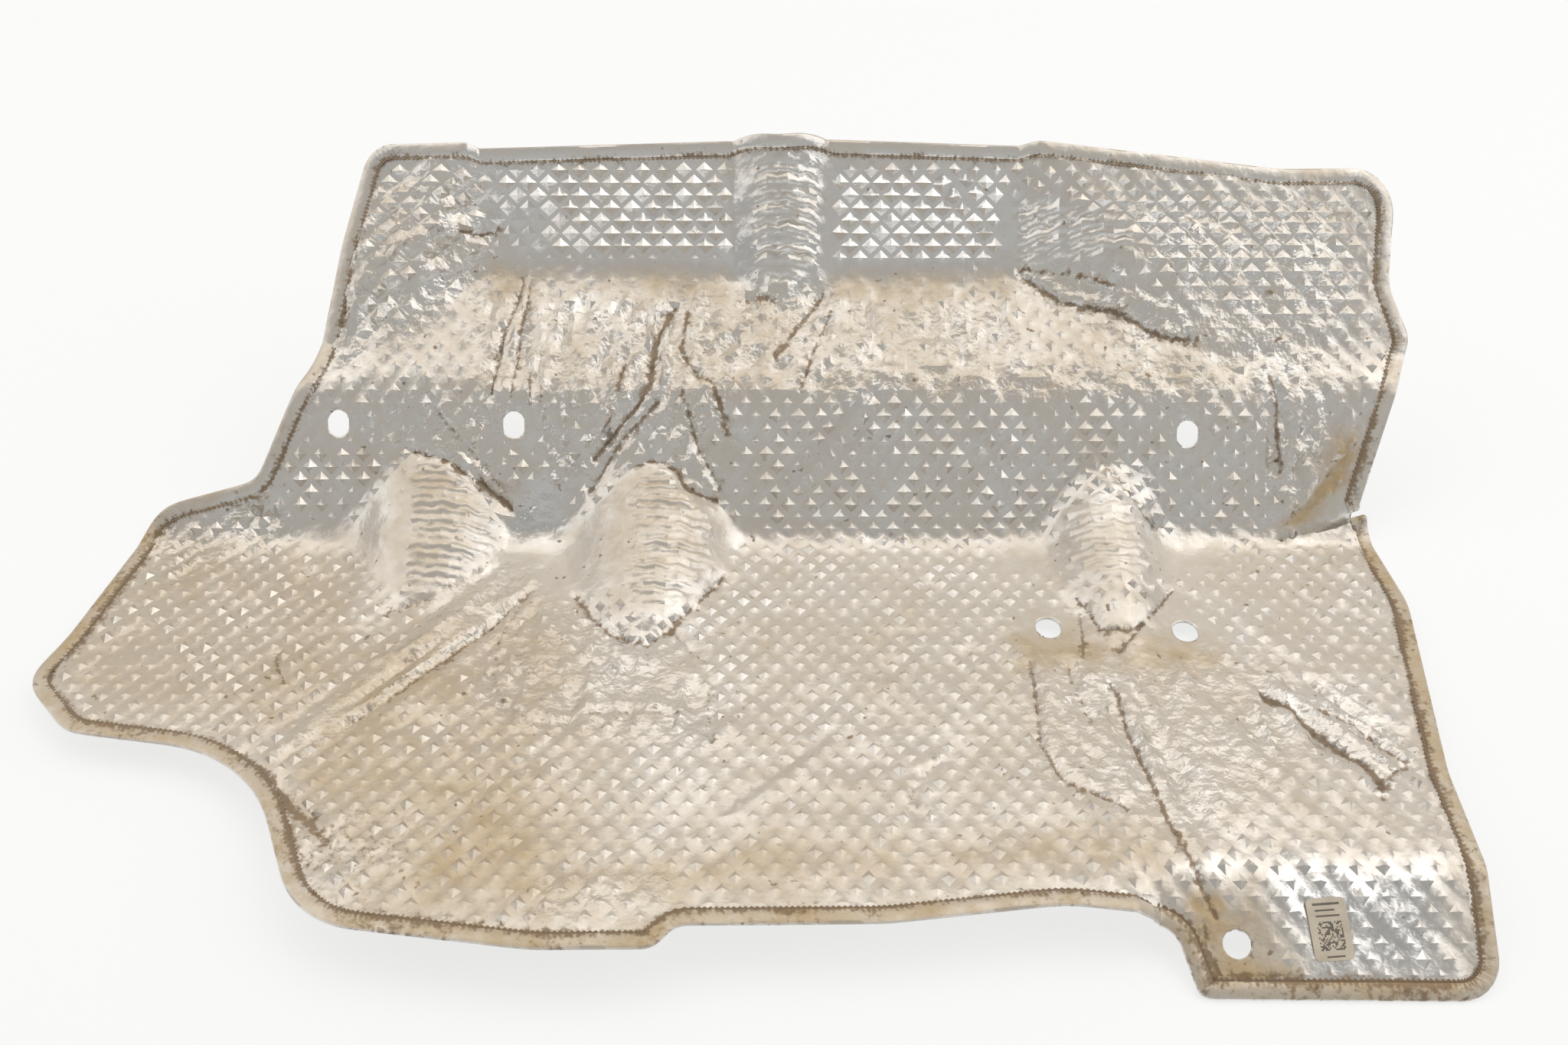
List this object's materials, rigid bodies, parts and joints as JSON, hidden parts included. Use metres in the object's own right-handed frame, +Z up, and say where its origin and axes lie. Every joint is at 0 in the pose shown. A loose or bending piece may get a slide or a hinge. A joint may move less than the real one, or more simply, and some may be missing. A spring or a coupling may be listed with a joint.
{
  "type": "heat shield",
  "caption": "Pressed and embossed aluminium heat shield with a hemmed edge, a stepped wall, stiffening gussets, a bent tab and fixing holes; it keeps exhaust heat off a car's body.",
  "frame": {"origin": "centre of the bounding box, on the ground that the shield lies on", "axes": "+X across the shield, along its bends, towards the end with the tab; +Y from the front edge to the back, stepped wall; +Z up"},
  "size_m": [0.6608, 0.4044, 0.1489],
  "materials": {
    "embossed_aluminium": "dusty embossed mill finish",
    "label_paper": "matt paper"
  },
  "bodies": {
    "root": {"heat_shield": "embossed_aluminium", "label": "label_paper"}
  },
  "joints": []
}
